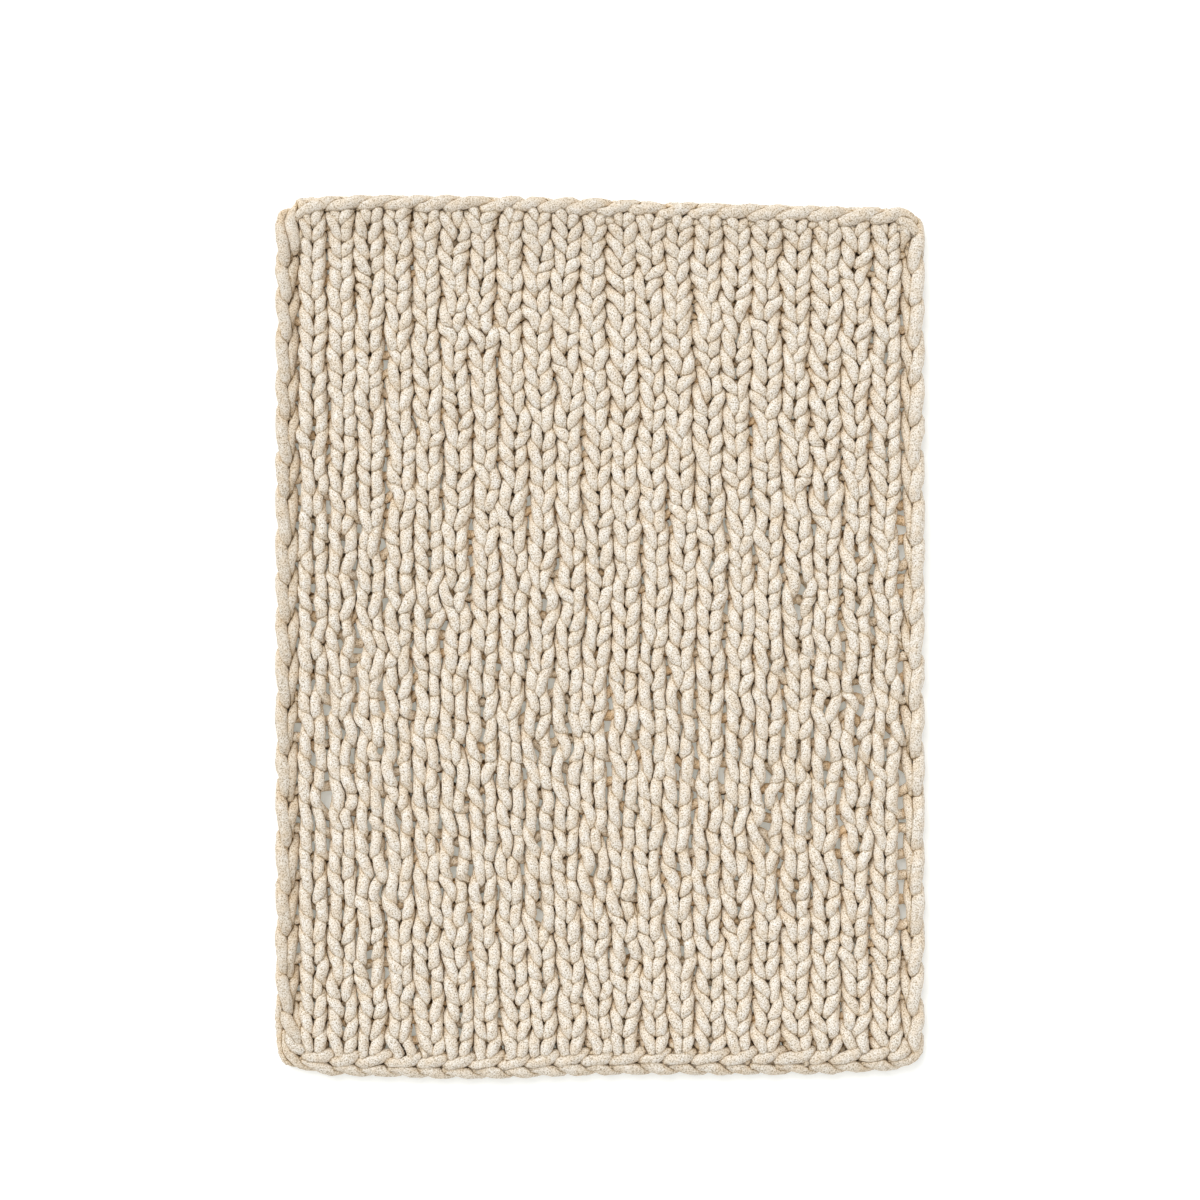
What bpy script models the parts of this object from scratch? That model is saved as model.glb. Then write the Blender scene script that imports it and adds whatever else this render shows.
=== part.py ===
"""Chunky knit blanket, laid flat: one sheet of stocking stitch knitted from thick chenille yarn.

Run with: blender --background --python part.py

Metres, +Z up. The origin is on the surface that the blanket lies on, under its middle. The wales,
the upright columns of stitches, run along Y, from the cast-on edge at -Y to the cast-off edge at
+Y. The knit side, where every stitch is a V of two yarn legs, faces up.

The blanket is one piece: the chain round its four sides is the edge of the same knitting. Each
yarn leg of a wale and each strand of the chain is raised as a rib, and the slack places where the
yarns part are cut right through.
"""

import math

import bmesh
import bpy
import numpy as np

# The whole blanket, at its furthest points
WIDTH = 1.10
LENGTH = 1.50

# The knitting
WALES = 21
COURSES = 41
SIDE_CHAIN = 0.038
CAST_ON_CHAIN = 0.044
CAST_OFF_CHAIN = 0.038

# Heights above the surface that it lies on
YARN_TOP = 0.036
CHAIN_TOP = 0.038
WALE_VALLEY = 0.022
STITCH_VALLEY = 0.025
CHAIN_VALLEY = 0.027
RIM = 0.015

# The outline: each chain link bulges, the corners are round, and the edge turns under to the floor
CORNER_RADIUS = 0.030
LINK_BULGE = 0.004
LINK_DIP = 0.005
LINK_SLANT = 0.007
TURN_UNDER = 0.007

# The slack places: how far a gap reaches from its middle, and how much longer than wide it is
WIDE_GAP = 0.0065
NARROW_GAP = 0.0045
GAP_STRETCH = 1.45

# Tension tables: (place from 0 to 1, spacing of the lines there, as a share of the usual one)
WALE_TENSION = ((0.0, 1.00), (0.5, 0.96), (1.0, 1.05))
COURSE_TENSION = (
    (0.0, 0.95),
    (0.14, 0.97),
    (0.20, 1.15),
    (0.36, 1.17),
    (0.44, 1.01),
    (0.86, 0.97),
    (1.0, 0.82),
)

# How far the two knitted ends fall short of the full length: (x, amount)
CAST_ON_SHORT = (
    (-0.52, 0.017),
    (-0.46, 0.006),
    (-0.25, 0.000),
    (-0.19, 0.000),
    (0.00, 0.007),
    (0.37, 0.007),
    (0.52, 0.016),
)
CAST_OFF_SHORT = (
    (-0.52, 0.005),
    (-0.39, 0.000),
    (-0.33, 0.000),
    (-0.10, 0.003),
    (0.05, 0.009),
    (0.20, 0.015),
    (0.52, 0.023),
)

# The hand's uneven tension draws the stitches from their places in slow waves over the blanket:
# (size, radians for each metre across, radians for each metre along, start in radians)
DRIFT_ACROSS = ((0.005, 2.5, 7.0, 0.6), (0.002, -6.0, 19.0, 0.0))
DRIFT_ALONG = ((0.006, 6.5, 2.0, 1.1), (0.003, 17.0, 0.0, 0.4))

# The gaps, a row for each valley between two yarn legs, counted from the left side chain:
# (valley, courses with a wide gap, courses with a narrow gap), the courses counted from the cast-on
GAPS = (
    (0, (15,), (14, 26)),
    (1, (30,), (14, 19, 21, 22)),
    (2, (16,), (12, 26)),
    (4, (), (11, 16, 17, 18, 19, 22, 25)),
    (5, (22,), (7, 23)),
    (6, (14, 16, 17, 19), (12, 21, 33, 34)),
    (12, (), (7,)),
    (14, (), (18, 29)),
    (16, (), (26,)),
    (17, (), (11,)),
    (18, (), (17,)),
    (26, (), (22,)),
    (27, (), (9,)),
    (29, (), (6,)),
    (30, (), (13, 15, 19)),
    (31, (), (20,)),
    (32, (30,), (24,)),
    (33, (25,), (11, 33)),
    (34, (), (23, 29)),
    (35, (), (13, 22)),
    (36, (25,), (6, 26, 27)),
    (37, (14,), (27,)),
    (38, (12,), (7, 9, 11)),
    (39, (17,), ()),
    (40, (13,), (15, 20)),
    (41, (15,), (14, 34)),
    (42, (6, 18, 24), (33, 36)),
)

# The net of lines: a line on each valley and on each crest, and two strands in every chain
CHAIN_LINES = 4
LINES_PER_WALE = 4
COLUMNS = 2 * CHAIN_LINES + LINES_PER_WALE * WALES
ROWS = 2 * CHAIN_LINES + COURSES
FIRST_WALE = CHAIN_LINES
FIRST_COURSE = CHAIN_LINES
LINES_PER_VALLEY = 2

# Two heights are the same if they are closer than this
SAME = 1e-6


def clear_scene():
    """Removes the startup objects."""
    for obj in list(bpy.data.objects):
        bpy.data.objects.remove(obj)


def spaced(count, tension):
    """Places from 0 to 1 of count + 1 lines, whose spacing follows a tension table."""
    places, spacings = zip(*tension)
    steps = np.interp((np.arange(count) + 0.5) / count, places, spacings)
    return np.concatenate([[0.0], np.cumsum(steps)]) / steps.sum()


def table_at(table, place):
    """A two-column table's value at a place."""
    places, values = zip(*table)
    return float(np.interp(place, places, values))


def column_lines():
    """The x of every line across the blanket, from the left outline to the right one."""
    field = WIDTH - 2 * SIDE_CHAIN
    valleys = -field / 2 + field * spaced(2 * WALES, WALE_TENSION)
    chain = SIDE_CHAIN * np.array([0.0, 0.5])
    valleys = np.concatenate([-WIDTH / 2 + chain, valleys, WIDTH / 2 - chain[::-1]])
    crests = (valleys[1:] + valleys[:-1]) / 2
    return np.sort(np.concatenate([valleys, crests]))


def row_lines():
    """The place of every line along the blanket, from 0 at the cast-on outline to 1 at the cast-off."""
    field = LENGTH - CAST_ON_CHAIN - CAST_OFF_CHAIN
    chain = np.arange(CHAIN_LINES) / CHAIN_LINES
    courses = CAST_ON_CHAIN + field * spaced(COURSES, COURSE_TENSION)
    lines = [CAST_ON_CHAIN * chain, courses, LENGTH - CAST_OFF_CHAIN * chain[::-1]]
    return np.concatenate(lines) / LENGTH


def rounded_corner(x, y):
    """Draws a point in a corner's square onto the round corner."""
    middle_x = WIDTH / 2 - CORNER_RADIUS
    middle_y = LENGTH / 2 - CORNER_RADIUS
    past_x, past_y = abs(x) - middle_x, abs(y) - middle_y
    if past_x <= 0 or past_y <= 0:
        return x, y
    share = max(past_x, past_y) / math.hypot(past_x, past_y)
    x = math.copysign(middle_x + past_x * share, x)
    y = math.copysign(middle_y + past_y * share, y)
    return x, y


def waves(table, x, y):
    """The sum of a table's slow waves at a place."""
    return sum(size * math.sin(across * x + along * y + start) for size, across, along, start in table)


def drift(x, y):
    """How far a stitch is drawn from its place, which fades to nothing at the edges."""
    move_x = waves(DRIFT_ACROSS, x, y) * math.cos(math.pi * x / WIDTH)
    move_y = waves(DRIFT_ALONG, x, y) * math.cos(math.pi * y / LENGTH)
    return move_x, move_y


def link_phase(column):
    """How far along a chain link a column line lies, from 0 to 1: one link lies over each wale."""
    return (column - FIRST_WALE) % LINES_PER_WALE / LINES_PER_WALE


def end_chain_height(column, row):
    """The height in the cast-on and cast-off chains, two strands of slanting links."""
    if row % 2 == 0:
        return CHAIN_VALLEY
    return CHAIN_TOP - LINK_DIP * (link_phase(column) == 0)


def side_chain_height(column, row):
    """The height in the side chains, two strands whose links each last two courses."""
    if column % 2 == 0:
        return CHAIN_VALLEY
    return CHAIN_TOP - LINK_DIP * (row % 2)


def wale_height(column):
    """The height in the field: a rib on each leg, and a deeper valley between wales than in them."""
    if column % 2:
        return YARN_TOP
    return WALE_VALLEY if link_phase(column) == 0 else STITCH_VALLEY


def height(column, row):
    """The height of the upper face where two lines cross."""
    if column in (0, COLUMNS) or row in (0, ROWS):
        return RIM
    row_from_end = min(row, ROWS - row)
    column_from_side = min(column, COLUMNS - column)
    if row_from_end < CHAIN_LINES:
        return end_chain_height(column, row_from_end)
    if row_from_end == CHAIN_LINES:
        return STITCH_VALLEY
    if column_from_side < CHAIN_LINES:
        return side_chain_height(column, row)
    return wale_height(column)


def link_shape(column, row):
    """How far a chain link moves a point: sideways on the side chains, lengthways on the end ones."""
    move_x = move_y = 0.0
    if min(row, ROWS - row) < CHAIN_LINES:
        phase = link_phase(column)
        move_y = LINK_SLANT * (phase - 0.5)
        if row in (0, ROWS):
            outwards = 1 if row else -1
            move_y = outwards * LINK_BULGE * (math.sin(math.pi * phase) - 1)
    elif column in (0, COLUMNS):
        outwards = 1 if column else -1
        move_x = -outwards * LINK_BULGE * (row % 2)
    return move_x, move_y


def knit_point(column, row, x, share):
    """The place of the upper face's point where two lines cross."""
    link_x, link_y = link_shape(column, row)
    low = -LENGTH / 2 + table_at(CAST_ON_SHORT, x)
    high = LENGTH / 2 - table_at(CAST_OFF_SHORT, x)
    y = low + share * (high - low)
    drift_x, drift_y = drift(x, y)
    x, y = rounded_corner(x + drift_x + link_x, y + drift_y + link_y)
    return x, y, height(column, row)


def knit_face():
    """The blanket's upper face as a net of quads, on the lines of its valleys and crests."""
    bm = bmesh.new()
    bmesh.ops.create_grid(bm, x_segments=COLUMNS, y_segments=ROWS, size=0.5)
    across, along = column_lines(), row_lines()
    crossings = {}
    for vert in bm.verts:
        column = round((vert.co.x + 0.5) * COLUMNS)
        row = round((vert.co.y + 0.5) * ROWS)
        vert.co = knit_point(column, row, across[column], along[row])
        crossings[column, row] = vert
    return bm, crossings


def open_gaps(bm, crossings, reach, chosen):
    """Opens a long diamond at each chosen crossing, by bevelling its vertex and deleting the face."""
    verts = [
        crossings[FIRST_WALE + LINES_PER_VALLEY * valley, FIRST_COURSE + course]
        for valley, course in chosen
    ]
    made = bmesh.ops.bevel(bm, geom=verts, offset=reach, segments=1, affect="VERTICES")
    for face in made["faces"]:
        middle = face.calc_center_median().y
        for vert in face.verts:
            vert.co.y = middle + GAP_STRETCH * (vert.co.y - middle)
    bmesh.ops.delete(bm, geom=made["faces"], context="FACES_ONLY")


def turned_under(x, y):
    """Moves an outline point inwards, square to its side or towards its corner's middle."""
    inner_x = max(-WIDTH / 2 + CORNER_RADIUS, min(WIDTH / 2 - CORNER_RADIUS, x))
    inner_y = max(-LENGTH / 2 + CORNER_RADIUS, min(LENGTH / 2 - CORNER_RADIUS, y))
    share = TURN_UNDER / math.hypot(inner_x - x, inner_y - y)
    return x + share * (inner_x - x), y + share * (inner_y - y)


def thicken(bm):
    """Extrudes the knit face down to the surface, with its outline turned under."""
    made = bmesh.ops.extrude_face_region(bm, geom=bm.faces[:])
    lower = [item for item in made["geom"] if isinstance(item, bmesh.types.BMVert)]
    for vert in lower:
        if math.isclose(vert.co.z, RIM, abs_tol=SAME):
            vert.co.x, vert.co.y = turned_under(vert.co.x, vert.co.y)
        vert.co.z = 0.0
    bmesh.ops.recalc_face_normals(bm, faces=bm.faces)


def chenille():
    """The cream chenille yarn, matt all over."""
    material = bpy.data.materials.new("cream_chenille")
    material.use_nodes = True
    shader = material.node_tree.nodes["Principled BSDF"]
    shader.inputs["Base Color"].default_value = (0.72, 0.62, 0.48, 1.0)
    shader.inputs["Roughness"].default_value = 0.95
    shader.inputs["Metallic"].default_value = 0.0
    return material


def blanket():
    """The knitted sheet: its ribbed upper face, the gaps in it, and its flat underside."""
    bm, crossings = knit_face()
    wide = [(valley, course) for valley, courses, _ in GAPS for course in courses]
    narrow = [(valley, course) for valley, _, courses in GAPS for course in courses]
    open_gaps(bm, crossings, WIDE_GAP, wide)
    open_gaps(bm, crossings, NARROW_GAP, narrow)
    thicken(bm)
    mesh = bpy.data.meshes.new("blanket")
    bm.to_mesh(mesh)
    bm.free()
    mesh.materials.append(chenille())
    obj = bpy.data.objects.new("blanket", mesh)
    bpy.context.scene.collection.objects.link(obj)
    return obj


clear_scene()
blanket()
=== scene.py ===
"""The looks of a chunky knit blanket: its real yarn, course by course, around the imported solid.

Metres, +Z up, in the solid's frame: X across the wales, Y from the cast-on edge to the cast-off
edge, the knit side up and the purl side on the surface.
"""

import math

import bpy
import numpy as np
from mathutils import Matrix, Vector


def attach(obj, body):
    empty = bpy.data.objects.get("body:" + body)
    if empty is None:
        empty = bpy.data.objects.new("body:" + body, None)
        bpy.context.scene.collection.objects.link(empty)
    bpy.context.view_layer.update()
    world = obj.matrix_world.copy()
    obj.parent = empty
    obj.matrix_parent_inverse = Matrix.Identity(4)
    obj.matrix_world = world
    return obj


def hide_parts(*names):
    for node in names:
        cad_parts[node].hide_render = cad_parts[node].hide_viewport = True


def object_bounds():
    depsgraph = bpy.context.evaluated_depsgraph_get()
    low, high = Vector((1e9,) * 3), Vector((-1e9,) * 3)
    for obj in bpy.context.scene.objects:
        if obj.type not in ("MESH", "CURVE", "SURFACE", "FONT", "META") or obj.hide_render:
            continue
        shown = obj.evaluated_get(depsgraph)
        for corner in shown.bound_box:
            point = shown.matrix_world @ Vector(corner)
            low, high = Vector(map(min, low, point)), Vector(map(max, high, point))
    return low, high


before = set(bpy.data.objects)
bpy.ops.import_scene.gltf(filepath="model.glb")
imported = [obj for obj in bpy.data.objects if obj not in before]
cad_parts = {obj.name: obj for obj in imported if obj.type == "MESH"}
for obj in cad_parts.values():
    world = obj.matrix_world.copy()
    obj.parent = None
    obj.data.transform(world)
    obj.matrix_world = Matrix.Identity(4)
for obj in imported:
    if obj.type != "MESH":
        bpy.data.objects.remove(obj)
cad_low, cad_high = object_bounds()
bpy.ops.object.select_all(action="DESELECT")


# ---- The yarn --------------------------------------------------------------------------------
# One jumbo chenille yarn makes the whole blanket: a round cord of short cut pile on a thin core.
# It is cream with fine darker flecks, and it is soft enough to squash where it is crossed.
YARN = 0.021
WHITE = (1.0, 1.0, 1.0)
# Each noise is (scale, detail), and each ramp has rows of (place, colour). The other colours are
# all multiplied with the flecks' own
FLECK_NOISE = (420.0, 3.0)
FLECKS = (
    (0.325, (0.34, 0.265, 0.175)),
    (0.465, (0.75, 0.684, 0.583)),
    (0.65, (0.945, 0.914, 0.868)),
)
MOTTLE_NOISE = (55.0, 2.0)
MOTTLE = ((0.32, (0.955, 0.895, 0.815)), (0.62, WHITE))
# Painted warm shade: the yarn is made warmer and darker the lower it lies, between these heights
DEPTHS = (0.006, 0.036)
PAINTED_DEPTH_SHADE = ((0.0, (0.93, 0.82, 0.67)), (0.72, (0.99, 0.945, 0.88)), (1.0, WHITE))
# Painted warm shade on buried yarn, in patches: where the noise is from low to high, and how strong the
# shade is there
DEEP_SHADE_NOISE = (13.0, 1.0)
DEEP_SHADE_PATCHES = (0.42, 0.58, 0.15, 1.0)
PAINTED_DEEP_SHADE = (1.0, 0.87, 0.70)
# Painted shade on the yarn of the edges, which is made darker
PAINTED_EDGE_SHADE = (0.87, 0.845, 0.81)
# Painted shade darkens the creases within this reach of the next yarn, and less so from the lower of
# two heights to the upper one
CREASE_REACH = 0.0025
PAINTED_CREASE_SHADE = ((0.0, (0.17, 0.12, 0.067)), (0.34, (0.78, 0.695, 0.555)), (1.0, WHITE))
CREASE_HEIGHTS = (0.024, 0.034, 1.0, 0.56)
PILE_STRENGTH = 0.8
PILE_HEIGHT = 0.0025


def chenille():
    """The cream chenille: pile speckle, a slow change of shade, and painted shade: warmer and darker
    low down, in buried patches and on the edges, and darker in the creases.
    """
    material = bpy.data.materials.new("cream_chenille")
    material.use_nodes = True
    nodes, links = material.node_tree.nodes, material.node_tree.links
    shader = nodes["Principled BSDF"]
    place = nodes.new("ShaderNodeTexCoord").outputs["Object"]

    def noise(scale, detail):
        texture = nodes.new("ShaderNodeTexNoise")
        texture.inputs["Scale"].default_value = scale
        texture.inputs["Detail"].default_value = detail
        links.new(place, texture.inputs["Vector"])
        return texture.outputs["Fac"]

    def attribute(name):
        value = nodes.new("ShaderNodeAttribute")
        value.attribute_name = name
        return value.outputs["Fac"]

    def spread(value, low, high, at_low=0.0, at_high=1.0):
        """Turns low to high into at_low to at_high."""
        node = nodes.new("ShaderNodeMapRange")
        node.inputs["From Min"].default_value = low
        node.inputs["From Max"].default_value = high
        node.inputs["To Min"].default_value = at_low
        node.inputs["To Max"].default_value = at_high
        links.new(value, node.inputs["Value"])
        return node.outputs["Result"]

    def ramp(value, stops):
        node = nodes.new("ShaderNodeValToRGB")
        elements = node.color_ramp.elements
        elements[0].position, elements[1].position = stops[0][0], stops[-1][0]
        for position, _ in stops[1:-1]:
            elements.new(position)
        for element, (_, colour) in zip(elements, stops):
            element.color = (*colour, 1)
        links.new(value, node.inputs["Fac"])
        return node.outputs["Color"]

    def calculated(operation, one, other):
        node = nodes.new("ShaderNodeMath")
        node.operation = operation
        links.new(one, node.inputs[0])
        links.new(other, node.inputs[1])
        return node.outputs["Value"]

    def multiplied(colour, factor):
        """The colour times a second one, which is still to be set, as far as the factor says."""
        node = nodes.new("ShaderNodeMix")
        node.data_type = "RGBA"
        node.blend_type = "MULTIPLY"
        links.new(colour, node.inputs["A"])
        if factor is None:
            node.inputs["Factor"].default_value = 1.0
        else:
            links.new(factor, node.inputs["Factor"])
        return node

    fleck = noise(*FLECK_NOISE)
    mottled = multiplied(ramp(fleck, FLECKS), None)
    links.new(ramp(noise(*MOTTLE_NOISE), MOTTLE), mottled.inputs["B"])

    # Painted warm shade: the lower the yarn lies, the warmer and darker it is made
    split = nodes.new("ShaderNodeSeparateXYZ")
    links.new(place, split.inputs["Vector"])
    height = split.outputs["Z"]
    unshaded = calculated("MAXIMUM", spread(height, *DEPTHS), attribute("no_depth_shade"))
    depth_shaded = multiplied(mottled.outputs["Result"], None)
    links.new(ramp(unshaded, PAINTED_DEPTH_SHADE), depth_shaded.inputs["B"])

    # Painted warm shade on the buried yarn, in patches
    deep_shade = calculated("MULTIPLY", attribute("buried"), spread(noise(*DEEP_SHADE_NOISE), *DEEP_SHADE_PATCHES))
    deep_shaded = multiplied(depth_shaded.outputs["Result"], deep_shade)
    deep_shaded.inputs["B"].default_value = (*PAINTED_DEEP_SHADE, 1)
    # Painted shade: the yarn of the edges is made darker
    edge_shade = multiplied(deep_shaded.outputs["Result"], attribute("edge_shade"))
    edge_shade.inputs["B"].default_value = (*PAINTED_EDGE_SHADE, 1)

    # Painted shade: darker in the creases, near the next yarn
    crease_shaded = multiplied(edge_shade.outputs["Result"], spread(height, *CREASE_HEIGHTS))
    near = spread(attribute("clearance"), 0.0, CREASE_REACH)
    links.new(ramp(near, PAINTED_CREASE_SHADE), crease_shaded.inputs["B"])
    links.new(crease_shaded.outputs["Result"], shader.inputs["Base Color"])

    pile = nodes.new("ShaderNodeBump")
    pile.inputs["Strength"].default_value = PILE_STRENGTH
    pile.inputs["Distance"].default_value = PILE_HEIGHT
    links.new(fleck, pile.inputs["Height"])
    links.new(pile.outputs["Normal"], shader.inputs["Normal"])
    shader.inputs["Roughness"].default_value = 0.95
    shader.inputs["Specular IOR Level"].default_value = 0.15
    shader.inputs["Sheen Weight"].default_value = 0.15
    shader.inputs["Sheen Roughness"].default_value = 0.5
    return material


CREAM_CHENILLE = chenille()


# ---- The field -------------------------------------------------------------------------------
# Stocking stitch, one yarn along each course: every stitch is a loop drawn up through the loop
# below, so that its two legs lie on top as a V, and its head and the bars between stitches lie
# underneath. The hand's tension changes from course to course and from side to side.
WIDTH, LENGTH = (cad_high - cad_low)[:2]
WALES = 21
COURSES = 41
SIDE_CHAIN = 0.038
CAST_ON_CHAIN = 0.044
CAST_OFF_CHAIN = 0.038
# How wide the wales are from left to right, and how long the courses from the cast-on upwards
WALE_TENSION = ((0.0, 1.00), (0.5, 0.96), (1.0, 1.05))
COURSE_TENSION = (
    (0.0, 0.95),
    (0.14, 0.97),
    (0.20, 1.15),
    (0.36, 1.17),
    (0.44, 1.01),
    (0.86, 0.97),
    (1.0, 0.82),
)
# How far the slanting cast-on and cast-off edges fall short of the whole length, across the width
CAST_ON_SHORT = (
    (-0.52, 0.017),
    (-0.46, 0.006),
    (-0.25, 0.000),
    (-0.19, 0.000),
    (0.00, 0.007),
    (0.37, 0.007),
    (0.52, 0.016),
)
CAST_OFF_SHORT = (
    (-0.52, 0.005),
    (-0.39, 0.000),
    (-0.33, 0.000),
    (-0.10, 0.003),
    (0.05, 0.009),
    (0.20, 0.015),
    (0.52, 0.023),
)
# Slow waves that draw the stitches from their places, held back at the edges: (size, radians a
# metre across, radians a metre along, start)
DRIFT_ACROSS = ((0.005, 2.5, 7.0, 0.6), (0.002, -6.0, 19.0, 0.0))
DRIFT_ALONG = ((0.006, 6.5, 2.0, 1.1), (0.003, 17.0, 0.0, 0.4))
EDGE_HOLD = 3
LAST_LINE_OUT = 0.003

# The path of a loop: how high it runs, how its legs hook round the heads that they pass, how far
# it reaches over its neighbours, and how thick its heads and legs are, in thicknesses of yarn
LOOP_POINTS = 32
LOOP_MIDDLE = 0.0180
LOOP_RISE = 0.0085
LOOP_OVER = 0.0065
HOOK = 0.0042
HOOK_AT = math.radians(36)
HOOK_WIDE = math.radians(20)
OVERLAP = 0.029
LOOSE_OVERLAP = 0.008
HEAD_THICKNESS = 0.74
LOOSE_HEAD = 0.13
LEG_THICKNESS = 1.04
LEG_FAT = (0.87, 0.06)
SPINDLE = 2.2
# How much further along the left leg of a stitch lies than the right one
LEG_STEP = 0.0040
# How wildly single legs differ: in lean, as (least, more where tight), in height and in thickness
LEAN_WILD = (0.016, 0.014)
LIFT_WILD = 0.0016
FAT_WILD = 0.05
# Where a course turns into the side chain at each end
TAIL_POINTS = 6
TAIL = np.array([0.024, 0.004, 0.0])
# The short sunken rows of loops that the two end chains are worked through: (length, depth)
CAST_ON_LOOPS = (0.010, 0.0100)
CAST_OFF_LOOPS = (0.015, 0.0050)
# How far the legs lean, from 0, upright, to 1: rows from the cast-on to the cast-off, columns from
# the left side to the right one
LEAN = (
    (0.60, 0.50, 0.60, 0.80, 0.75),
    (0.30, 0.30, 0.35, 0.60, 0.60),
    (0.10, 0.10, 0.15, 0.25, 0.30),
    (0.05, 0.10, 0.10, 0.12, 0.10),
    (0.05, 0.20, 0.30, 0.25, 0.15),
    (0.10, 0.30, 0.50, 0.40, 0.35),
    (0.20, 0.45, 0.75, 0.70, 0.50),
    (0.30, 0.60, 0.90, 0.80, 0.60),
    (0.40, 0.50, 0.80, 0.80, 0.60),
)
LEAN_LEAST = 0.080
LEAN_SPAN = 0.145
LEAN_APART = np.array([0.020, -0.018])
# Where neighbouring legs stand apart, so that the surface shows between them. Valley 0 lies
# beside the left chain, and each leg is followed by one more; courses count from the cast-on.
# Each row is a valley, the courses of its wide gaps and those of its narrow ones
GAPS = (
    (0, (15,), (14, 26)),
    (1, (30,), (14, 19, 21, 22)),
    (2, (16,), (12, 26)),
    (4, (), (11, 16, 17, 18, 19, 22, 25)),
    (5, (22,), (7, 23)),
    (6, (14, 16, 17, 19), (12, 21, 33, 34)),
    (12, (), (7,)),
    (14, (), (18, 29)),
    (16, (), (26,)),
    (17, (), (11,)),
    (18, (), (17,)),
    (26, (), (22,)),
    (27, (), (9,)),
    (29, (), (6,)),
    (30, (), (13, 15, 19)),
    (31, (), (20,)),
    (32, (30,), (24,)),
    (33, (25,), (11, 33)),
    (34, (), (23, 29)),
    (35, (), (13, 22)),
    (36, (25,), (6, 26, 27)),
    (37, (14,), (27,)),
    (38, (12,), (7, 9, 11)),
    (39, (17,), ()),
    (40, (13,), (15, 20)),
    (41, (15,), (14, 34)),
    (42, (6, 7, 8, 9, 10, 11, 12, 13, 18, 22, 23, 24, 25, 26), (33, 36)),
)
WIDE_GAP = 0.0050
NARROW_GAP = 0.0034
GAP_REACH = 0.015
GAP_LENGTH = 0.018
GAP_RISE = 0.007
GAP_PEAK = 0.43
rng = np.random.default_rng(11)


def spaced(count, tension):
    """Places from 0 to 1 of count + 1 lines, whose spacing follows a tension table."""
    places, spacings = zip(*tension)
    steps = np.interp((np.arange(count) + 0.5) / count, places, spacings)
    return np.concatenate([[0.0], np.cumsum(steps)]) / steps.sum()


def table_at(table, place):
    """A two-column table's values at some places."""
    places, values = zip(*table)
    return np.interp(place, places, values)


def waves(table, x, y):
    """The sum of a table's slow waves at some places."""
    return sum(size * np.sin(across * x + along * y + start) for size, across, along, start in table)


field_width = WIDTH - 2 * SIDE_CHAIN
field_length = LENGTH - CAST_ON_CHAIN - CAST_OFF_CHAIN
valley_lines = -field_width / 2 + field_width * spaced(2 * WALES, WALE_TENSION)
wale_lines = valley_lines[::2]
course_lines = -LENGTH / 2 + CAST_ON_CHAIN + field_length * spaced(COURSES, COURSE_TENSION)
course_lines[-1] += LAST_LINE_OUT

# Uneven stitches: short waves in every direction sideways, and lengthways ones that differ from leg
# to leg. They move crossing yarns together
UNEVEN = 48
UNEVEN_SIDEWAYS = 0.0006
UNEVEN_ALONG = 0.0009
SIDEWAYS_WAVE = (0.055, 0.13)
ALONG_WAVE_ACROSS = (0.042, 0.075)
ALONG_WAVE_ALONG = (-0.3, 0.3)
ALONG_STEEPEST = 60.0
turns = rng.uniform(0, 2 * math.pi, UNEVEN)
counts = 2 * math.pi / rng.uniform(*SIDEWAYS_WAVE, UNEVEN)
sideways_waves = (counts * np.cos(turns), counts * np.sin(turns))
counts_across = 2 * math.pi / rng.uniform(*ALONG_WAVE_ACROSS, UNEVEN)
counts_along = 2 * math.pi / rng.uniform(*ALONG_WAVE_ALONG, UNEVEN)
along_waves = (counts_across, np.clip(counts_along, -ALONG_STEEPEST, ALONG_STEEPEST))
starts = rng.uniform(0, 2 * math.pi, (2, UNEVEN))


def uneven(x, y):
    """A stitch's own unevenness at some places, sideways and lengthways."""
    sets = ((UNEVEN_SIDEWAYS, sideways_waves, starts[0]), (UNEVEN_ALONG, along_waves, starts[1]))
    moves = []
    for size, (across, along), start in sets:
        phase = np.multiply.outer(x, across) + np.multiply.outer(y, along) + start
        moves.append(size * np.sin(phase).sum(-1))
    return moves


def opened(x, y):
    """How far sideways the gaps push the yarn at some places."""
    push = np.zeros_like(x)
    for valley, wide, narrow in GAPS:
        for course in wide + narrow:
            size = WIDE_GAP if course in wide else NARROW_GAP
            rise = GAP_RISE if valley % 2 == 0 else -GAP_RISE
            across = (x - valley_lines[valley]) / GAP_REACH
            along = (y - course_lines[course] - rise) / GAP_LENGTH
            push += size / GAP_PEAK * across * np.exp(-(across**2) - along**2)
    return push


def settled(points):
    """Moves points of the even knitting to where the uneven tension leaves them."""
    x, y = points[..., 0], points[..., 1]
    share = y / LENGTH + 0.5
    low = -LENGTH / 2 + table_at(CAST_ON_SHORT, x)
    high = LENGTH / 2 - table_at(CAST_OFF_SHORT, x)
    fade_x, fade_y = np.cos(math.pi * x / WIDTH), np.cos(math.pi * y / LENGTH)
    own_x, own_y = uneven(x, y)
    along = waves(DRIFT_ALONG, x, y) * fade_y + own_y * np.minimum(1, EDGE_HOLD * fade_y)
    moved = points.copy()
    moved[..., 0] = x + waves(DRIFT_ACROSS, x, y) * fade_x
    moved[..., 0] += own_x * np.minimum(1, EDGE_HOLD * fade_x)
    moved[..., 0] += opened(x, y)
    moved[..., 1] = low + share * (high - low) + along
    return moved


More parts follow.
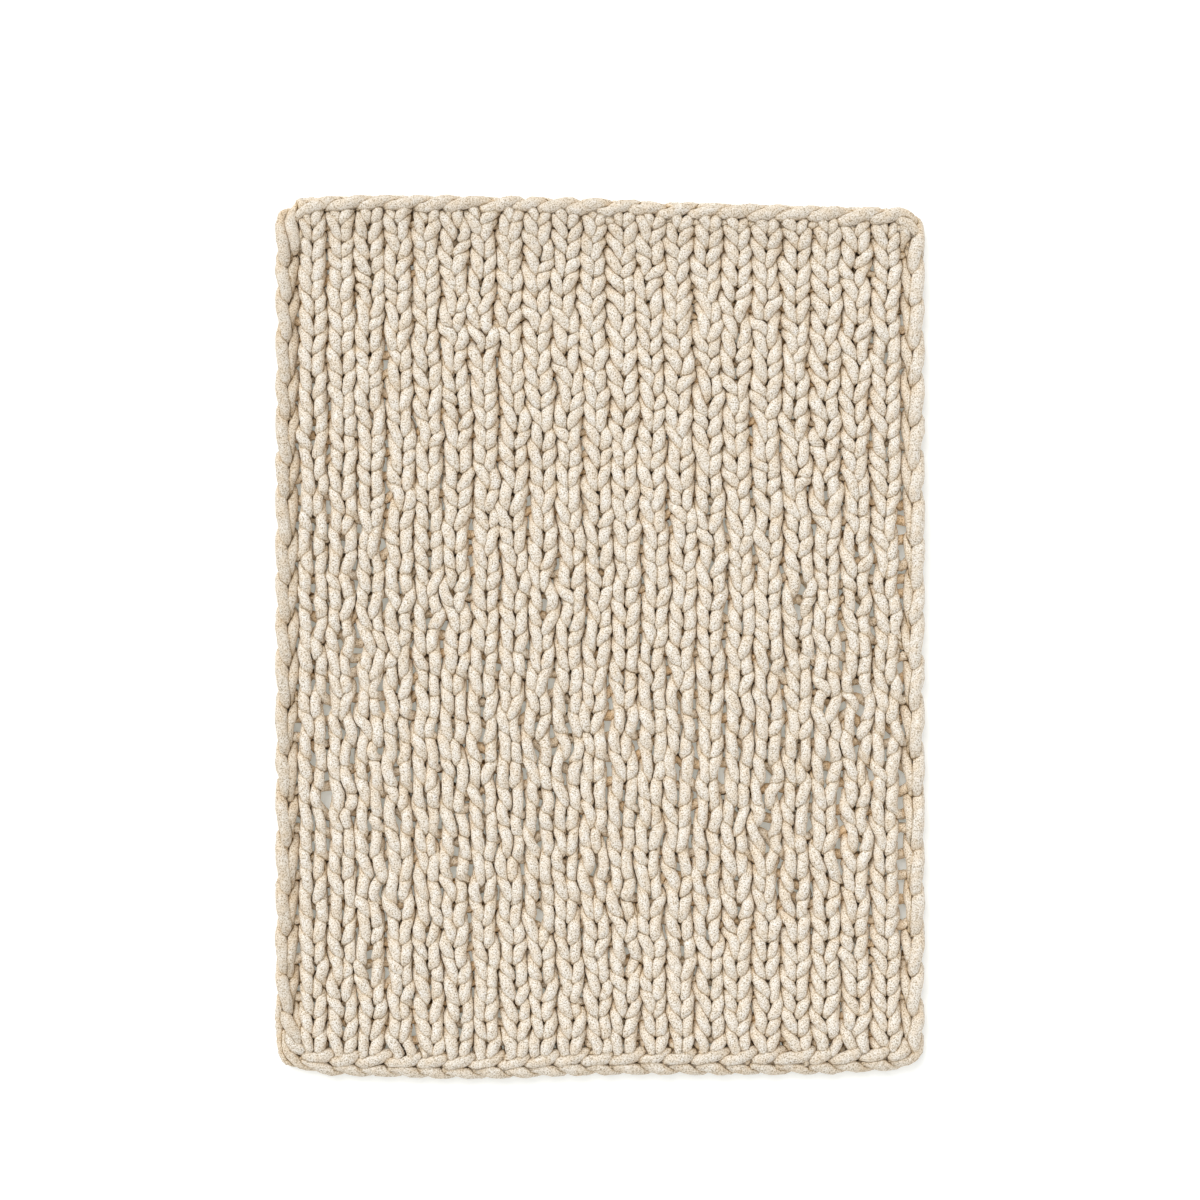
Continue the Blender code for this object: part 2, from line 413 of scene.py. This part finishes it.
def lean_at(x, y):
    """The lean of a leg at a place, from the table, with no jumps between its rows and columns."""
    rows, columns = len(LEAN) - 1, len(LEAN[0]) - 1
    row = np.clip((y / LENGTH + 0.5) * rows, 0, rows - 1e-9)
    column = np.clip((x / WIDTH + 0.5) * columns, 0, columns - 1e-9)
    r, c = int(row), int(column)
    up, right = row - r, column - c
    lower = LEAN[r][c] * (1 - right) + LEAN[r][c + 1] * right
    upper = LEAN[r + 1][c] * (1 - right) + LEAN[r + 1][c + 1] * right
    return lower * (1 - up) + upper * up


def loop_height(turn):
    """How high a loop's yarn runs at each turn: low at the heads and bars, and each leg over the
    head below it and under the legs above."""
    rise = LOOP_MIDDLE - LOOP_RISE * np.cos(2 * turn)
    return rise + LOOP_OVER * np.abs(np.sin(2 * turn)) * np.sign(np.cos(turn))


def course_strand(low, high, sinks=0.0):
    """The yarn of one course: its path through every stitch, and its thickness."""
    middle = (low + high) / 2
    turn = np.linspace(0, 2 * math.pi, LOOP_POINTS + 1)
    first = turn <= math.pi
    leg = np.sin(turn) ** 2
    plump = np.abs(np.sin(turn)) ** SPINDLE
    along_leg = np.where(first, turn, 2 * math.pi - turn)
    hook = np.exp(-(((along_leg - HOOK_AT) / HOOK_WIDE) ** 2))
    hook -= np.exp(-(((math.pi - along_leg - HOOK_AT) / HOOK_WIDE) ** 2))
    hook *= np.where(first, HOOK, -HOOK)
    points, thickness = [], []
    for wale in range(WALES):
        left, right = wale_lines[wale], wale_lines[wale + 1]
        wide = right - left
        tight = lean_at((left + right) / 2, middle)
        reach = (high - low + OVERLAP + LOOSE_OVERLAP * (1 - tight)) / 2
        lean_wild = (LEAN_WILD[0] + LEAN_WILD[1] * tight) * rng.standard_normal(2)
        leans = LEAN_LEAST + LEAN_SPAN * tight + lean_wild + LEAN_APART
        lift = LIFT_WILD * rng.standard_normal(2)
        fat = LEG_FAT[0] + LEG_FAT[1] * tight + FAT_WILD * rng.standard_normal(2)
        leant = np.where(first, *leans) * wide * np.sin(2 * turn)
        x = left + wide * turn / (2 * math.pi) + leant + hook
        y = middle - reach * np.cos(turn) + LEG_STEP * np.sin(turn)
        z = loop_height(turn)
        z += leg * np.where(first, *lift) - sinks * leg
        head = HEAD_THICKNESS + LOOSE_HEAD * (1 - tight)
        thick = YARN * (head + (LEG_THICKNESS * np.where(first, *fat) - head) * plump)
        end = None if wale == WALES - 1 else -1
        points.append(np.stack([x, y, z], axis=1)[:end])
        thickness.append(thick[:end])
    path = np.concatenate(points)
    thick = np.concatenate(thickness)
    out = np.linspace(1, 0, TAIL_POINTS, endpoint=False)[:, None]
    before = path[0] - out * TAIL
    after = path[-1] + out[::-1] * TAIL * np.array([1, 1, -1])
    path = np.concatenate([before, path, after])
    thick = np.pad(thick, TAIL_POINTS, mode="edge")
    return settled(path), thick


FIELD_PIECES = 6
strands = {}
piece_starts = np.linspace(0, COURSES, FIELD_PIECES + 1).round().astype(int)
for number in range(FIELD_PIECES):
    lines = course_lines[piece_starts[number] : piece_starts[number + 1] + 1]
    courses = [course_strand(*pair) for pair in zip(lines[:-1], lines[1:])]
    strands[f"field_courses_{number + 1}"] = courses
long, deep = CAST_ON_LOOPS
begun = course_strand(course_lines[0] - long, course_lines[0], deep)
strands["field_courses_1"].insert(0, begun)
long, deep = CAST_OFF_LOOPS
ended = course_strand(course_lines[-1], course_lines[-1] + long, deep)
strands[f"field_courses_{FIELD_PIECES}"].append(ended)


# ---- The side chains --------------------------------------------------------------------------
# The selvedge stitches, slipped at the start of each row: every link spans two courses, and its
# outer leg lies on top while the inner one sinks towards the field.
SIDE_LINKS = 20
SIDE_WIDE = 0.025
SIDE_IN = 0.0185
SIDE_ROUNDING = 0.020
# How wide the right chain is along the edge, and how far in a chain of no width would lie
RIGHT_WIDE = (
    (-0.75, 0.026),
    (-0.55, 0.026),
    (-0.48, 0.021),
    (-0.24, 0.021),
    (-0.19, 0.025),
    (-0.13, 0.025),
    (-0.08, 0.021),
    (-0.04, 0.021),
    (0.00, 0.025),
    (0.06, 0.021),
    (0.23, 0.021),
    (0.30, 0.026),
    (0.75, 0.026),
)
RIGHT_IN = 0.0125
RIGHT_POINTS = 40
# Lean, lift and thickness of a chain's legs: right leg, left leg, seen along the chain
LEFT_LEGS = ((0.34, 0.36), (-0.003, 0.001), (0.92, 1.08))
RIGHT_LEGS = ((0.36, 0.34), (0.001, -0.003), (1.12, 0.92))
# How wildly single legs of a chain differ in lean, lift and thickness
LINK_WILD = (0.02, 0.0008, 0.03)
# The run of yarn underneath, from link to link
RUN_POINTS = 7
RUN_THICKNESS = 0.66
RUN_HEIGHT = 0.0075
# How far each link reaches over the next ones, and is tucked in under the link before it
LINK_OVERLAP = 0.032
TUCK = 0.30
TUCK_TURN = math.radians(45)
SPINE_STEP = 0.004


def run_lengths(spine):
    """The length run along a spine up to each of its points."""
    return np.concatenate([[0.0], np.cumsum(np.linalg.norm(np.diff(spine, axis=0), axis=1))])


def on_spine(spine, along, across):
    """Places at some lengths along a spine, and some distances to the left of it."""
    length = run_lengths(spine)
    ahead = np.gradient(spine, axis=0)
    ahead /= np.linalg.norm(ahead, axis=1)[:, None]
    x, y = (np.interp(along, length, spine[:, axis]) for axis in (0, 1))
    ahead_x, ahead_y = (np.interp(along, length, ahead[:, axis]) for axis in (0, 1))
    return x - across * ahead_y, y + across * ahead_x


def rounded(corners, radius):
    """A smooth spine through some corners, with a point each few millimetres."""
    corners = np.array(corners)
    length = run_lengths(corners)
    places = np.linspace(0, length[-1], int(length[-1] / SPINE_STEP))
    spine = np.stack([np.interp(places, length, corners[:, axis]) for axis in (0, 1)], axis=1)
    reach = int(radius / SPINE_STEP)
    blur = np.ones(2 * reach + 1) / (2 * reach + 1)
    for axis in (0, 1):
        for twice in range(2):
            padded = np.pad(spine[:, axis], reach, mode="reflect", reflect_type="odd")
            spine[:, axis] = np.convolve(padded, blur, mode="valid")
    return spine


def chain_strand(spine, lines, widths, leans, lifts, fats, wild=1.0):
    """A chain's one yarn: each link is a loop drawn through the link before it, and the yarn runs
    on underneath to the next."""
    widths = np.append(np.broadcast_to(widths, len(lines) - 1), 0)
    turn = np.linspace(0, 2 * math.pi, LOOP_POINTS + 1)
    first = turn <= math.pi
    leg = np.sin(turn) ** 2
    plump = np.abs(np.sin(turn)) ** SPINDLE
    start = np.maximum(0, 1 - turn / TUCK_TURN) ** 2
    tuck = TUCK * (start - start[::-1])
    run = np.linspace(0, 1, RUN_POINTS + 2)[1:-1]
    paths, thickness = [], []
    for link, (low, high) in enumerate(zip(lines[:-1], lines[1:])):
        wide, next_wide = widths[link : link + 2]
        lean = np.array(leans) + wild * LINK_WILD[0] * rng.standard_normal(2)
        lift = np.array(lifts) + wild * LINK_WILD[1] * rng.standard_normal(2)
        fat = np.array(fats) * (1 + wild * LINK_WILD[2] * rng.standard_normal(2))
        reach = (high - low + LINK_OVERLAP) / 2
        along = (low + high) / 2 - reach * np.cos(turn)
        leant = np.where(first, *lean) * np.sin(2 * turn)
        across = wide * (turn / (2 * math.pi) - 0.5 + leant + tuck)
        z = loop_height(turn) + leg * np.where(first, *lift)
        thick = YARN * (HEAD_THICKNESS + (np.where(first, *fat) - HEAD_THICKNESS) * plump)
        if next_wide:
            along = np.concatenate([along, along[-1] + run * (high - low)])
            next_start = next_wide * (TUCK - 0.5)
            across = np.concatenate([across, across[-1] + (next_start - across[-1]) * run])
            z = np.concatenate([z, z[-1] + (RUN_HEIGHT - z[-1]) * np.sin(math.pi * run)])
            thin = HEAD_THICKNESS + (RUN_THICKNESS - HEAD_THICKNESS) * np.sin(math.pi * run)
            thick = np.concatenate([thick, YARN * thin])
        x, y = on_spine(spine, along, across)
        paths.append(np.stack([x, y, z], axis=1))
        thickness.append(thick)
    return settled(np.concatenate(paths)), np.concatenate(thickness)


side_lines = np.interp(np.linspace(0, COURSES, SIDE_LINKS + 1), np.arange(COURSES + 1), course_lines)
left_x = -WIDTH / 2 + SIDE_IN
left_spine = rounded(
    (
        (left_x + 0.028, -LENGTH / 2),
        (left_x + 0.024, -LENGTH / 2 + 0.050),
        (left_x, -LENGTH / 2 + 0.110),
        (left_x, LENGTH / 2 - 0.080),
        (left_x + 0.004, LENGTH / 2),
    ),
    SIDE_ROUNDING,
)
right_widths = table_at(RIGHT_WIDE, (side_lines[1:] + side_lines[:-1]) / 2)
right_y = np.linspace(-LENGTH / 2, LENGTH / 2, RIGHT_POINTS)
right_in = RIGHT_IN + table_at(RIGHT_WIDE, right_y) / 4
right_spine = rounded(np.stack([WIDTH / 2 - right_in, right_y], axis=1), SIDE_ROUNDING)
side_along = side_lines + LENGTH / 2
strands["left_selvedge"] = [chain_strand(left_spine, side_along, SIDE_WIDE, *LEFT_LEGS)]
strands["right_selvedge"] = [chain_strand(right_spine, side_along, right_widths, *RIGHT_LEGS)]


# ---- The cast-on chain ------------------------------------------------------------------------
# The edge the knitting was begun on: about one link to each wale, its upper leg over its lower
# one. One loose strand runs round its left corner.
CAST_ON_LINKS = 23
CAST_ON_IN = 0.0215
CAST_ON_WIDE = 0.038
CAST_ON_LEGS = ((0.30, 0.30), (-0.006, 0.003), (1.02, 1.10))
# How much of the spine has no link, at its start and its end
CAST_ON_FREE = (0.030, 0.034)
END_ROUNDING = 0.016
# The loose strand, measured from the corner: (in from the side, up from the end, height)
CORNER_STRAND = (
    (0.0140, 0.150, 0.0120),
    (0.0085, 0.115, 0.0150),
    (0.0072, 0.075, 0.0150),
    (0.0075, 0.040, 0.0170),
    (0.0140, 0.016, 0.0190),
    (0.0300, 0.010, 0.0120),
    (0.0460, 0.020, 0.0090),
)
CORNER_THICKNESS = 0.0140
CORNER_POINTS = 48
CORNER_SMOOTHING = 12


def links_along(spine, links, free):
    """Where the links begin and end along a spine, with some of it left free at both ends."""
    length = np.linalg.norm(np.diff(spine, axis=0), axis=1).sum()
    return np.linspace(free[0], length - free[1], links + 1)


cast_on_y = -LENGTH / 2 + CAST_ON_IN
cast_on_spine = rounded(
    (
        (-WIDTH / 2 + 0.020, cast_on_y + 0.060),
        (-WIDTH / 2 + 0.022, cast_on_y + 0.012),
        (-WIDTH / 2 + 0.046, cast_on_y),
        (WIDTH / 2 - 0.034, cast_on_y),
        (WIDTH / 2 - 0.017, cast_on_y + 0.012),
        (WIDTH / 2 - 0.016, cast_on_y + 0.060),
    ),
    END_ROUNDING,
)
cast_on_along = links_along(cast_on_spine, CAST_ON_LINKS, CAST_ON_FREE)
cast_on_strand = chain_strand(cast_on_spine, cast_on_along, CAST_ON_WIDE, *CAST_ON_LEGS)
corner = np.array(CORNER_STRAND) - np.array([WIDTH / 2, LENGTH / 2, 0])
stops = np.arange(len(corner))
places = np.linspace(0, len(corner) - 1, CORNER_POINTS)
corner_path = np.stack([np.interp(places, stops, column) for column in corner.T], axis=1)
for smoothing in range(CORNER_SMOOTHING):
    corner_path[1:-1] += 0.5 * ((corner_path[:-2] + corner_path[2:]) / 2 - corner_path[1:-1])
corner_strand = (settled(corner_path), np.full(CORNER_POINTS, CORNER_THICKNESS))
strands["cast_on_chain"] = [cast_on_strand, corner_strand]


# ---- The cast-off chain -----------------------------------------------------------------------
# The edge the knitting was ended on: a chain rolled over towards the field, so that its upper leg
# lies on top like a rope. It turns down a little at both corners.
CAST_OFF_LINKS = 22
CAST_OFF_IN = 0.0265
CAST_OFF_WIDE = 0.042
CAST_OFF_LEGS = ((0.20, 0.26), (-0.009, 0.001), (0.92, 1.10))
CAST_OFF_FREE = (0.012, 0.016)
# How much wilder its links are than those of the other chains
CAST_OFF_WILD = 2.5
cast_off_y = LENGTH / 2 - CAST_OFF_IN
cast_off_spine = rounded(
    (
        (-WIDTH / 2 + 0.036, LENGTH / 2 - 0.090),
        (-WIDTH / 2 + 0.038, cast_off_y - 0.006),
        (-WIDTH / 2 + 0.060, cast_off_y),
        (WIDTH / 2 - 0.030, cast_off_y),
        (WIDTH / 2 - 0.018, cast_off_y - 0.010),
        (WIDTH / 2 - 0.017, LENGTH / 2 - 0.090),
    ),
    END_ROUNDING,
)
cast_off_along = links_along(cast_off_spine, CAST_OFF_LINKS, CAST_OFF_FREE)
strands["cast_off_chain"] = [
    chain_strand(cast_off_spine, cast_off_along, CAST_OFF_WIDE, *CAST_OFF_LEGS, CAST_OFF_WILD)
]


# ---- The knitting as it lies ------------------------------------------------------------------
# The yarns press each other aside where they cross, and squash only a little; then each yarn is a
# round cord round its path. Every corner of it knows how far the next yarn is.

# Yarns that cross come no nearer than this share of their thickness, and points of one yarn count
# as two yarns when they are so many points apart
SQUASH = 0.60
SAME_YARN = 9
# How strongly they move aside in x, y and z, how often, and how much of each move lasts
SIDE_PRESS = (0.28, 0.35, 1.2)
PRESS_ROUNDS = 60
LOOK_AGAIN = 20
LOOK_REACH = 1.3 * YARN
LASTS = 0.985
SMOOTHINGS = 2
# Limits for the middle of a yarn: its height over the surface in half thicknesses, its greatest
# height, and how far its side may stand out past the outline
LEAST_HEIGHT = 0.97
HIGHEST = 0.0275
BULGE = 0.0015
# The cord itself, with small lumps of pile, clear of the surface that it lies on
YARN_SIDES = 14
UP = np.array([0.0, 0.0, 1.0])
PILE_LUMPS = 0.0006
ON_FLOOR = 0.0003
# The next yarn is looked for within this reach, and counts as far apart from here on
NEXT_YARN = 0.027
FAR_APART = 0.012
# Painted warm shade on buried yarn: below this height, and only well inside the outline
BURIED = 0.0150
BURIED_FADE = 0.0050
BURIED_EDGE = 0.022
BURIED_EDGE_FADE = 0.014
# No painted shade with depth on the sides that face down, nor right at the outline
FACES_DOWN = 1.6
RIM = 0.010
# Painted shade: how much darker the edges' yarn is made, along the length and on each chain
EDGE_SHADE_ALONG = ((-0.70, 0.25), (-0.66, 0.0), (0.62, 0.0), (0.68, 0.45), (0.75, 0.45))
CHAIN_SHADE = {"left_selvedge": 1.0, "right_selvedge": 0.3, "cast_on_chain": 0.6, "cast_off_chain": 0.8}


def near_pairs(points, strand, reach):
    """Every pair of points within reach, of two yarns or of two separate parts of one."""
    cell = np.floor((points[:, :2] - points[:, :2].min(0)) / reach).astype(int) + 1
    rows = cell[:, 1].max() + 2
    key = cell[:, 0] * rows + cell[:, 1]
    order = np.argsort(key, kind="stable")
    key = key[order]
    here, there = [], []
    for step in (0, 1, rows - 1, rows, rows + 1):
        first = np.searchsorted(key, key + step, "left") if step else np.arange(len(key)) + 1
        count = np.searchsorted(key, key + step, "right") - first
        before = np.repeat(np.cumsum(count) - count, count)
        a = order[np.repeat(np.arange(len(key)), count)]
        b = order[np.arange(count.sum()) - before + np.repeat(first, count)]
        apart = (strand[a] != strand[b]) | (np.abs(a - b) >= SAME_YARN)
        close = apart & (((points[a] - points[b]) ** 2).sum(-1) < reach**2)
        here.append(a[close])
        there.append(b[close])
    return np.concatenate(here), np.concatenate(there)


def pressed(start, thick, strand):
    """Lets the yarns press each other apart until they only squash where they cross."""
    points = start.copy()
    inside = np.zeros(len(points), bool)
    inside[1:-1] = (strand[1:-1] == strand[:-2]) & (strand[1:-1] == strand[2:])
    middle = np.nonzero(inside)[0]
    for turn in range(PRESS_ROUNDS):
        if turn % LOOK_AGAIN == 0:
            here, there = near_pairs(points, strand, LOOK_REACH)
            room = SQUASH * (thick[here] + thick[there]) / 2
        gap = points[there] - points[here]
        far = np.sqrt((gap**2).sum(-1)) + 1e-9
        push = np.maximum(0, room - far) / far * 0.5
        hits = np.bincount(here, push > 0, len(points)) + np.bincount(there, push > 0, len(points))
        for axis in range(3):
            move = gap[:, axis] * push
            total = np.bincount(there, move, len(points)) - np.bincount(here, move, len(points))
            points[:, axis] += SIDE_PRESS[axis] * total / np.maximum(1, hits)
        moved = points - start
        for smoothing in range(SMOOTHINGS):
            moved[middle] += 0.5 * ((moved[middle - 1] + moved[middle + 1]) / 2 - moved[middle])
        points = start + LASTS * moved
        points[:, 2] = np.clip(points[:, 2], LEAST_HEIGHT * thick / 2, HIGHEST)
        round_ends = thick / 2 - BULGE
        points[:, 0] = np.clip(points[:, 0], round_ends - WIDTH / 2, WIDTH / 2 - round_ends)
        low = table_at(CAST_ON_SHORT, points[:, 0]) + round_ends - LENGTH / 2
        high = LENGTH / 2 - table_at(CAST_OFF_SHORT, points[:, 0]) - round_ends
        points[:, 1] = np.clip(points[:, 1], low, high)
    return points


def yarn_piece(name, parts):
    """Closes the rings of each part of the points into a round cord, all in one mesh."""
    faces, first = [], 0
    side = np.arange(YARN_SIDES)
    for part in parts:
        count = part.stop - part.start
        here = np.arange(count - 1)[:, None] * YARN_SIDES + side
        beside = np.arange(count - 1)[:, None] * YARN_SIDES + (side + 1) % YARN_SIDES
        quads = np.stack([here, here + YARN_SIDES, beside + YARN_SIDES, beside], axis=2) + first
        faces.extend(quads.reshape(-1, 4).tolist())
        faces.append(list(range(first, first + YARN_SIDES)))
        last = first + (count - 1) * YARN_SIDES
        faces.append(list(range(last + YARN_SIDES - 1, last - 1, -1)))
        first += count * YARN_SIDES
    whole = slice(parts[0].start, parts[-1].stop)
    mesh = bpy.data.meshes.new(name)
    mesh.from_pydata(rings[whole].reshape(-1, 3).tolist(), [], faces)
    for shade, values in shades.items():
        mesh.attributes.new(shade, "FLOAT", "POINT").data.foreach_set("value", values[whole].ravel())
    mesh.shade_smooth()
    mesh.materials.append(CREAM_CHENILLE)
    piece = bpy.data.objects.new(name, mesh)
    bpy.context.scene.collection.objects.link(piece)
    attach(piece, "root")
    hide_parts("blanket")
    return piece


def inside_outline(places):
    """How far inside the blanket's outline some places lie."""
    x, y = places[..., 0], places[..., 1]
    to_cast_on = y + LENGTH / 2 - table_at(CAST_ON_SHORT, x)
    to_cast_off = LENGTH / 2 - table_at(CAST_OFF_SHORT, x) - y
    return np.minimum(WIDTH / 2 - np.abs(x), np.minimum(to_cast_on, to_cast_off))


every_strand = [strand for piece in strands.values() for strand in piece]
start = np.concatenate([path for path, _ in every_strand])
thick = np.concatenate([thick for _, thick in every_strand])
strand = np.repeat(np.arange(len(every_strand)), [len(path) for path, _ in every_strand])
points = pressed(start, thick, strand)

ahead = np.empty_like(points)
ahead[1:-1] = points[2:] - points[:-2]
ends = np.nonzero(np.diff(strand, prepend=-1))[0]
ahead[ends] = points[ends + 1] - points[ends]
lasts = np.append(ends[1:], len(points)) - 1
ahead[lasts] = points[lasts] - points[lasts - 1]
ahead /= np.linalg.norm(ahead, axis=1)[:, None]
side = np.cross(ahead, UP)
side /= np.linalg.norm(side, axis=1)[:, None]
over = np.cross(side, ahead)
angle = 2 * math.pi * np.arange(YARN_SIDES) / YARN_SIDES
ring = np.cos(angle)[:, None] * side[:, None] + np.sin(angle)[:, None] * over[:, None]
lumps = PILE_LUMPS * rng.standard_normal(ring.shape[:2] + (1,))
rings = points[:, None] + ring * (thick[:, None, None] / 2 + lumps)
rings[..., 2] = np.maximum(rings[..., 2], ON_FLOOR)

here, there = near_pairs(points, strand, NEXT_YARN)
here, there = np.concatenate([here, there]), np.concatenate([there, here])
order = np.argsort(here, kind="stable")
here, there = here[order], there[order]
owners, firsts = np.unique(here, return_index=True)
clearance = np.full(rings.shape[:2], FAR_APART)
for corner in range(YARN_SIDES):
    gap = np.linalg.norm(rings[here, corner] - points[there], axis=1) - thick[there] / 2
    clearance[owners, corner] = np.minimum(FAR_APART, np.minimum.reduceat(gap, firsts))

# Where painted shade goes: warm shade on buried yarn, and darker yarn on the edges
buried = np.clip((BURIED - points[:, 2]) / BURIED_FADE, 0, 1)
buried *= np.clip((inside_outline(points) - BURIED_EDGE) / BURIED_EDGE_FADE, 0, 1)
edge_shade = table_at(EDGE_SHADE_ALONG, points[:, 1])
begin = 0
parts = {name: [] for name in strands}
for name, group in strands.items():
    for path, _ in group:
        parts[name].append(slice(begin, begin + len(path)))
        begin += len(path)
    if name in CHAIN_SHADE:
        chain = slice(parts[name][0].start, begin)
        buried[chain], edge_shade[chain] = 0, CHAIN_SHADE[name]
# Painted depth shade is left off the sides that face down and off the outline
down = np.clip(-FACES_DOWN * ring[..., 2], 0, 1)
shades = {
    "clearance": clearance,
    "no_depth_shade": np.maximum(down, np.clip(1 - inside_outline(rings) / RIM, 0, 1)),
    "buried": buried[:, None] * (1 - down),
    "edge_shade": np.repeat(edge_shade[:, None], YARN_SIDES, axis=1),
}
for name, its_parts in parts.items():
    yarn_piece(name, its_parts)


# ---- The floor, the light and the camera ------------------------------------------------------
# A pale floor that glows a little, painted light that lightens the shadows under the blanket and in its
# holes, one large soft light from the upper left and an even sky. The camera looks straight down.
FLOOR_SIZE = 24.0
FLOOR_COLOUR = (0.93, 0.93, 0.93, 1)
# Painted light: the floor glows a little, lightening the shadows under the blanket and in its holes
FLOOR_GLOW = (0.94, 1.0, 0.92, 1)
FLOOR_GLOW_STRENGTH = 0.19
SKY_STRENGTH = 0.865
SUN_STRENGTH = 1.70
SUN_WIDE = math.radians(45)
SUN_TURN = (math.radians(-38), math.radians(-30), 0)
# How wide the picture is at a height near the knitting's top, and how far the blanket's middle
# lies below the picture's
FRAME_WIDTH = 2.034
FRAME_HEIGHT = 0.03
CENTRE_DOWN = 0.0625
LENS = 85.0
SENSOR = 36.0

bpy.ops.mesh.primitive_plane_add(size=FLOOR_SIZE, location=(0, 0, 0))
floor = bpy.context.object
floor.name = "floor"
paint = bpy.data.materials.new("pale_floor")
paint.use_nodes = True
paint_shader = paint.node_tree.nodes["Principled BSDF"]
paint_shader.inputs["Base Color"].default_value = FLOOR_COLOUR
# Painted light: a faint glow of the floor
paint_shader.inputs["Emission Color"].default_value = FLOOR_GLOW
paint_shader.inputs["Emission Strength"].default_value = FLOOR_GLOW_STRENGTH
paint_shader.inputs["Roughness"].default_value = 0.9
floor.data.materials.append(paint)

world = bpy.data.worlds.new("studio")
bpy.context.scene.world = world
world.use_nodes = True
sky = world.node_tree.nodes["Background"]
sky.inputs["Color"].default_value = (1, 1, 1, 1)
sky.inputs["Strength"].default_value = SKY_STRENGTH

sun = bpy.data.objects.new("soft_light", bpy.data.lights.new("soft_light", "SUN"))
sun.data.energy = SUN_STRENGTH
sun.data.angle = SUN_WIDE
sun.rotation_euler = SUN_TURN
bpy.context.scene.collection.objects.link(sun)

camera = bpy.data.objects.new("camera", bpy.data.cameras.new("camera"))
camera.data.lens = LENS
camera.data.sensor_width = SENSOR
camera.location = (0, CENTRE_DOWN, FRAME_WIDTH * LENS / SENSOR + FRAME_HEIGHT)
bpy.context.scene.collection.objects.link(camera)
bpy.context.scene.camera = camera
bpy.context.scene.view_settings.view_transform = "Standard"
